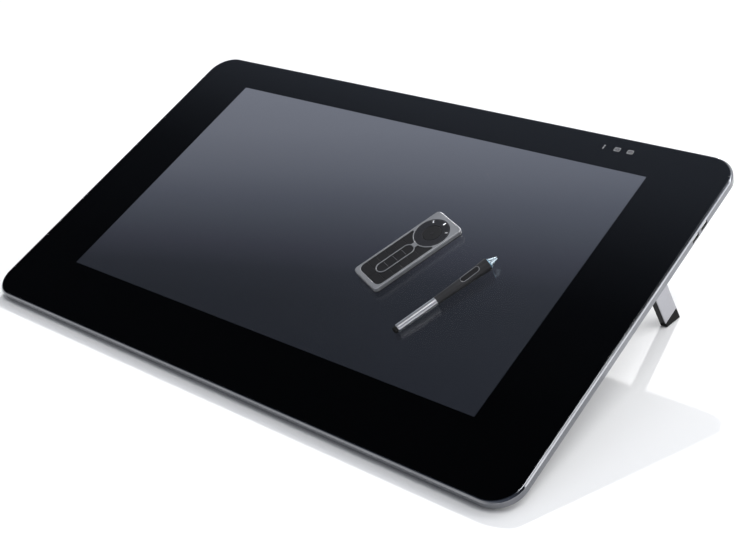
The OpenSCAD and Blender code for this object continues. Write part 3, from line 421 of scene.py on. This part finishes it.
# the glass's back face reaches a hair into the print that is bonded to it, so that the two don't share a plane
backLook = {"z": -0.002, "near": 0.00001, "sink": 0.00003}


def sinkGlassBack():
    piece = dressed["cover_glass"]
    onBack = [abs(spot.z - backLook["z"]) < backLook["near"] for spot in flatSpots(piece)]
    choose(piece, "FACE", lambda face: all(onBack[i] for i in face.vertices))
    bpy.ops.transform.translate(value=onStand.to_3x3() @ Vector((0, 0, -backLook["sink"])))
    bpy.ops.object.mode_set(mode="OBJECT")


sinkGlassBack()

# rim: the sharp chamfer turned into a soft shoulder, as the polished edge is
rimLook = {"width": 0.768, "height": 0.460, "corner": 0.032, "chamfer": 0.002, "soft": 0.0006, "steps": 4,
           "nearZ": 0.00002, "nearOutline": 0.00004}


def fromOutline(point):
    # how far a point of the flat panel lies inside its rounded outline
    across = abs(point.x) - (rimLook["width"] / 2 - rimLook["corner"])
    along = abs(point.y) - (rimLook["height"] / 2 - rimLook["corner"])
    return rimLook["corner"] - math.hypot(max(across, 0), max(along, 0)) - min(max(across, along), 0)


def makeRim():
    piece = copyNode("rim_frame")
    spots = flatSpots(piece)

    def lies(point, z, inside):
        level = abs(point.z - z) < rimLook["nearZ"]
        return level and abs(fromOutline(point) - inside) < rimLook["nearOutline"]

    def onShoulder(edge):
        ends = [spots[i] for i in edge.vertices]
        upper = all(lies(end, 0, rimLook["chamfer"]) for end in ends)
        return upper or all(lies(end, -rimLook["chamfer"], 0) for end in ends)

    choose(piece, "EDGE", onShoulder)
    bpy.ops.mesh.bevel(offset=rimLook["soft"], segments=rimLook["steps"], affect="EDGES")
    bpy.ops.object.mode_set(mode="OBJECT")
    putOn(piece, "rim_frame")


makeRim()
print("rim shaped")

# flat pieces: a plane or disc at its size and place, cut to a ring or left whole, then raised
flatLook = {"cornerSteps": 5, "discSides": 96}


def addPlate(name, spot, size, corner, steps=flatLook["cornerSteps"]):
    bpy.ops.object.select_all(action="DESELECT")
    bpy.ops.mesh.primitive_plane_add(size=1, location=spot)
    plate = bpy.context.object
    plate.name = name
    plate.scale = (size[0], size[1], 1)
    bpy.ops.object.transform_apply(location=True, rotation=False, scale=True)
    bpy.ops.object.mode_set(mode="EDIT")
    bpy.ops.mesh.select_all(action="SELECT")
    bpy.ops.mesh.bevel(offset=corner, segments=steps, affect="VERTICES")
    bpy.ops.object.mode_set(mode="OBJECT")
    return plate


def addDisc(name, spot, radius):
    bpy.ops.object.select_all(action="DESELECT")
    bpy.ops.mesh.primitive_circle_add(vertices=flatLook["discSides"], radius=radius, fill_type="NGON",
                                      location=spot)
    disc = bpy.context.object
    disc.name = name
    bpy.ops.object.transform_apply(location=True, rotation=False, scale=False)
    return disc


def hollow(plate, line):
    choose(plate, "FACE", lambda face: True)
    bpy.ops.mesh.inset(thickness=line)
    bpy.ops.mesh.delete(type="FACE")
    bpy.ops.object.mode_set(mode="OBJECT")


def raiseUp(plate, height):
    choose(plate, "FACE", lambda face: True)
    bpy.ops.mesh.extrude_region_move(TRANSFORM_OT_translate={"value": (0, 0, height)})
    bpy.ops.mesh.select_all(action="SELECT")
    bpy.ops.mesh.normals_make_consistent(inside=False)
    bpy.ops.object.mode_set(mode="OBJECT")


def joinAll(pieces):
    pick(pieces[0])
    for piece in pieces:
        piece.select_set(True)
    bpy.ops.object.join()
    return pieces[0]


def fix(piece, place, body, look):
    # modelled flat, then turned to its place, which goes into the mesh
    pick(piece)
    piece.matrix_world = place
    bpy.ops.object.transform_apply(location=True, rotation=True, scale=True)
    piece.data.materials.clear()
    piece.data.materials.append(finishes[look])
    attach(piece, body)


# side ports: the bright shells painted black inside as painted shade in the recess, each with a white tongue and
# four contacts under it
portLook = {"mouth": 0.3838, "lip": 0.0003, "deep": 0.001, "y": (0.122, 0.140), "back": 0.0006, "top": -0.0034,
            "tongue": (0.016, 0.0106, 0.0018), "edge": 0.00025, "edgeSteps": 3, "contacts": 4, "pitch": 0.0022,
            "contact": (0.008, 0.001, 0.0001), "contactBack": 0.006, "contactCorner": 0.0003, "contactSteps": 3}


def paintPortShade():
    piece = dressed["usb_ports"]
    piece.data.materials.append(finishes["socket"])
    spots = flatSpots(piece)

    def isInside(face):
        depths = [portLook["mouth"] - spots[i].x for i in face.vertices]
        return min(depths) > portLook["lip"] / 2 or max(depths) > portLook["deep"]

    # the metal shells' inner faces take the black socket plastic as painted shade
    choose(piece, "FACE", isInside)
    piece.active_material_index = 1
    bpy.ops.object.material_slot_assign()
    bpy.ops.object.mode_set(mode="OBJECT")


def makePortTongues():
    length, _, thick = portLook["tongue"]
    *contactSize, contactThick = portLook["contact"]
    contactX = portLook["mouth"] - portLook["contactBack"]
    contactZ = portLook["top"] - thick - contactThick
    for number, y in enumerate(portLook["y"], 1):
        bpy.ops.object.select_all(action="DESELECT")
        spot = (portLook["mouth"] - portLook["back"] - length / 2, y, portLook["top"] - thick / 2)
        bpy.ops.mesh.primitive_cube_add(size=1, location=spot)
        tongue = bpy.context.object
        tongue.name = "portTongue" + str(number)
        tongue.scale = portLook["tongue"]
        bpy.ops.object.transform_apply(location=True, rotation=False, scale=True)
        useModifier(tongue, "BEVEL", width=portLook["edge"], segments=portLook["edgeSteps"])
        smooth(tongue)
        fix(tongue, onStand, bodyOf["usb_ports"], "tongue")
        strips = []
        for i in range(portLook["contacts"]):
            place = (contactX, y + (i - (portLook["contacts"] - 1) / 2) * portLook["pitch"], contactZ)
            strip = addPlate("portContacts" + str(number), place, contactSize,
                             portLook["contactCorner"], portLook["contactSteps"])
            raiseUp(strip, contactThick)
            strips.append(strip)
        fix(joinAll(strips), onStand, bodyOf["usb_ports"], "contact")


paintPortShade()
makePortTongues()

# touch marks printed on the far border: a stem with a dot, and two pads with three rows of keys
markLook = {"film": 0.00004, "stem": (0.2318, 0.2089), "stemSize": (0.0015, 0.0038), "stemCorner": 0.0006,
            "dot": (0.2318, 0.2124), "dotSize": 0.001, "pads": [0.2482, 0.264], "padY": 0.2103,
            "padSize": (0.0072, 0.0058), "padCorner": 0.0008, "padLine": 0.0009,
            "key": (0.0012, 0.0008), "keyPitch": (0.0016, 0.0012), "keyCorner": 0.0002, "keySteps": 2}


def makeMarks():
    parts = [addPlate("borderMarkStem", (*markLook["stem"], 0), markLook["stemSize"], markLook["stemCorner"]),
             addDisc("borderMarkDot", (*markLook["dot"], 0), markLook["dotSize"])]
    pitchX, pitchY = markLook["keyPitch"]
    for x in markLook["pads"]:
        outline = addPlate("borderMarkPad", (x, markLook["padY"], 0), markLook["padSize"], markLook["padCorner"])
        hollow(outline, markLook["padLine"])
        parts.append(outline)
        for row in (-1, 0, 1):
            for column in (-1, 0, 1):
                spot = (x + column * pitchX, markLook["padY"] + row * pitchY, 0)
                parts.append(addPlate("borderMarkKey", spot, markLook["key"],
                                      markLook["keyCorner"], markLook["keySteps"]))
    for part in parts:
        raiseUp(part, markLook["film"])
    fix(joinAll(parts), onStand, bodyOf["cover_glass"], "mark")


makeMarks()

# remote: bright separators between the pill keys, a fine circle on the ring and a dark spot on its button
remoteLook = {"pill": (-0.040, 0.0065), "keys": 4, "bar": (0.00022, 0.0088), "barZ": (0.0067, 0.0088),
              "barCorner": 0.0001, "barSteps": 2, "top": 0.0086, "circle": 0.0194, "line": 0.0004,
              "film": 0.00005, "spot": 0.0019}


def makeRemoteDetail():
    start, end = remoteLook["pill"]
    foot, head = remoteLook["barZ"]
    bars = []
    for i in range(1, remoteLook["keys"]):
        place = (start + i * (end - start) / remoteLook["keys"], 0, foot)
        bar = addPlate("keySeparators", place, remoteLook["bar"], remoteLook["barCorner"], remoteLook["barSteps"])
        raiseUp(bar, head - foot)
        bars.append(bar)
    fix(joinAll(bars), onRemote, bodyOf["remote_frame"], "silver")
    centre = (remoteSpot["ringX"], 0, remoteLook["top"])
    circle = addDisc("ringCircle", centre, remoteLook["circle"])
    hollow(circle, remoteLook["line"])
    raiseUp(circle, remoteLook["film"])
    fix(circle, onRemote, bodyOf["touch_ring"], "circle")
    spot = addDisc("buttonSpot", centre, remoteLook["spot"])
    raiseUp(spot, remoteLook["film"])
    fix(spot, onRemote, bodyOf["ring_button"], "spot")


makeRemoteDetail()

# pen: a thin bright line round the side switch, pressed onto the curve of the grip from above
bezelLook = {"from": 0.025, "length": 0.022, "width": 0.005, "gap": 0.0003, "line": 0.0005, "thick": 0.00012,
             "above": 0.012, "round": 0.499, "roundSteps": 10, "longSide": 0.005, "cuts": 24, "lift": 0.00002}


def makeSwitchBezel():
    edge = bezelLook["gap"] + bezelLook["line"]
    size = (bezelLook["length"] + 2 * edge, bezelLook["width"] + 2 * edge)
    spot = (bezelLook["from"] + bezelLook["length"] / 2, 0, bezelLook["above"])
    bezel = addPlate("switchBezel", spot, size, bezelLook["round"] * size[1], bezelLook["roundSteps"])
    hollow(bezel, bezelLook["line"])
    places = [vertex.co.copy() for vertex in bezel.data.vertices]

    def isLong(side):
        first, last = side.vertices
        return (places[first] - places[last]).length > bezelLook["longSide"]

    choose(bezel, "EDGE", isLong)
    bpy.ops.mesh.subdivide(number_cuts=bezelLook["cuts"])
    bpy.ops.object.mode_set(mode="OBJECT")
    bezel.matrix_world = onPen
    bpy.context.view_layer.update()
    useModifier(bezel, "SHRINKWRAP", target=dressed["pen_grip"], wrap_method="PROJECT", use_project_z=True,
                use_negative_direction=True, use_positive_direction=False, offset=bezelLook["lift"])
    useModifier(bezel, "SOLIDIFY", thickness=bezelLook["thick"], offset=1.0)
    smooth(bezel)
    fix(bezel, onPen, bodyOf["pen_grip"], "silver")


makeSwitchBezel()
print("details added")

# stage: a white floor that keeps the shadow, with a slight glow where the camera, metal or glass sees it
floorLook = {"size": 30.0, "white": 0.88, "rough": 0.9, "lift": 0.02}


def addFloor():
    bpy.ops.object.select_all(action="DESELECT")
    bpy.ops.mesh.primitive_plane_add(size=floorLook["size"], location=(0, 0, 0))
    floor = bpy.context.object
    floor.name = "studioFloor"
    finish = newFinish("floorWhite", (floorLook["white"],) * 3, floorLook["rough"])
    tree = finish.node_tree
    rays = addNode(tree, "LightPath", {}).outputs
    mirrored = combine(tree, "MAXIMUM", rays["Is Glossy Ray"], rays["Is Transmission Ray"])
    seen = combine(tree, "MAXIMUM", rays["Is Camera Ray"], mirrored)
    setShader(finish, {"Specular IOR Level": 0.0, "Emission Color": (1, 1, 1, 1),
                       "Emission Strength": combine(tree, "MULTIPLY", seen, floorLook["lift"])})
    floor.data.materials.append(finish)


# suns: a crisp one for the shadow, a wide fill that the glass doesn't mirror, and a softer one from above
sunLooks = {
    "shadowSun": {"strength": 1.7, "soft": 1.2, "from": (-0.34, 0.729, 0.593), "mirrored": True},
    "domeSun": {"strength": 0.68, "soft": 100, "from": (0.3, 0.05, 0.95), "mirrored": False},
    "skySun": {"strength": 0.92, "soft": 24, "from": (0.3, 0.0, 0.954), "mirrored": True},
}
sunPlace = (0, 0, 3)


def addSun(name, look):
    bpy.ops.object.light_add(type="SUN", location=sunPlace)
    sun = bpy.context.object
    sun.name = name
    sun.data.energy = look["strength"]
    sun.data.angle = math.radians(look["soft"])
    sun.rotation_euler = (-Vector(look["from"])).to_track_quat("-Z", "Y").to_euler()
    sun.visible_glossy = sun.visible_transmission = look["mirrored"]


lampLooks = {
    "rightSoftbox": {"place": (2.5, 0.99, 0.96), "target": (0.38, 0.0, 0.1), "size": (1.6, 1.35), "watts": 23},
    "backFill": {"place": (1.2, 1.3, 1.5), "target": (0.45, 0.0, 0.0), "size": (0.8, 0.8), "watts": 9},
}


def addLamp(name, look):
    bpy.ops.object.light_add(type="AREA", location=look["place"])
    lamp = bpy.context.object
    lamp.name = name
    lamp.data.shape = "RECTANGLE"
    lamp.data.size, lamp.data.size_y = look["size"]
    lamp.data.energy = look["watts"]
    aim = Vector(look["target"]) - Vector(look["place"])
    lamp.rotation_euler = aim.to_track_quat("-Z", "Y").to_euler()


# world: white at the horizon, dim overhead, lighter towards the back, so that the glass stays dark
# the horizon behind and beside the camera is dimmer, so that round metal keeps a dark side
worldLook = {
    "lean": (-0.1, 1.0, 0.0), "horizon": (0.08, 0.34),
    "side": (1.0, -0.6, 0.0), "sideRange": (0.2, 0.6), "sideLevel": 0.7,
    "stops": [(0.0, 0.25), (0.5, 0.02), (0.59, 0.025), (0.638, 0.05), (0.655, 0.1), (0.675, 0.21), (0.688, 0.3),
              (0.702, 0.34), (0.85, 1.1), (1.0, 1.4)],
    "dim": (0.87, 1.0, 1.28),  # what the glass mirrors
    "bright": (0.98, 0.995, 1.02), "brightFrom": 0.5}


def addWorld():
    world = bpy.data.worlds.new("studioWorld")
    bpy.context.scene.world = world
    world.use_nodes = True
    tree = world.node_tree
    around = addNode(tree, "TexCoord", {}).outputs["Generated"]
    height = addNode(tree, "SeparateXYZ", {"Vector": around}).outputs["Z"]
    stops = []
    for at, level in worldLook["stops"]:
        tint = worldLook["bright" if level > worldLook["brightFrom"] else "dim"]
        stops.append((at, [level * share for share in tint]))
    sky = ramp(tree, spread(tree, dot(tree, around, worldLook["lean"]), 0, 1, -1, 1), stops)
    soft = {"interpolation_type": "SMOOTHSTEP"}
    low = spread(tree, height, 1, 0, *worldLook["horizon"], **soft)
    side = dot(tree, around, worldLook["side"])
    fade = spread(tree, side, 1, worldLook["sideLevel"], *worldLook["sideRange"], **soft)
    feeds = {"Factor": combine(tree, "MULTIPLY", low, fade), "A": sky, "B": (1, 1, 1, 1)}
    mixed = addNode(tree, "Mix", feeds, data_type="RGBA").outputs["Result"]
    feed(tree, tree.nodes["Background"].inputs["Color"], mixed)


bpy.context.scene.view_settings.view_transform = "Standard"
addFloor()
for name, look in sunLooks.items():
    addSun(name, look)
for name, look in lampLooks.items():
    addLamp(name, look)
addWorld()
print("stage set")
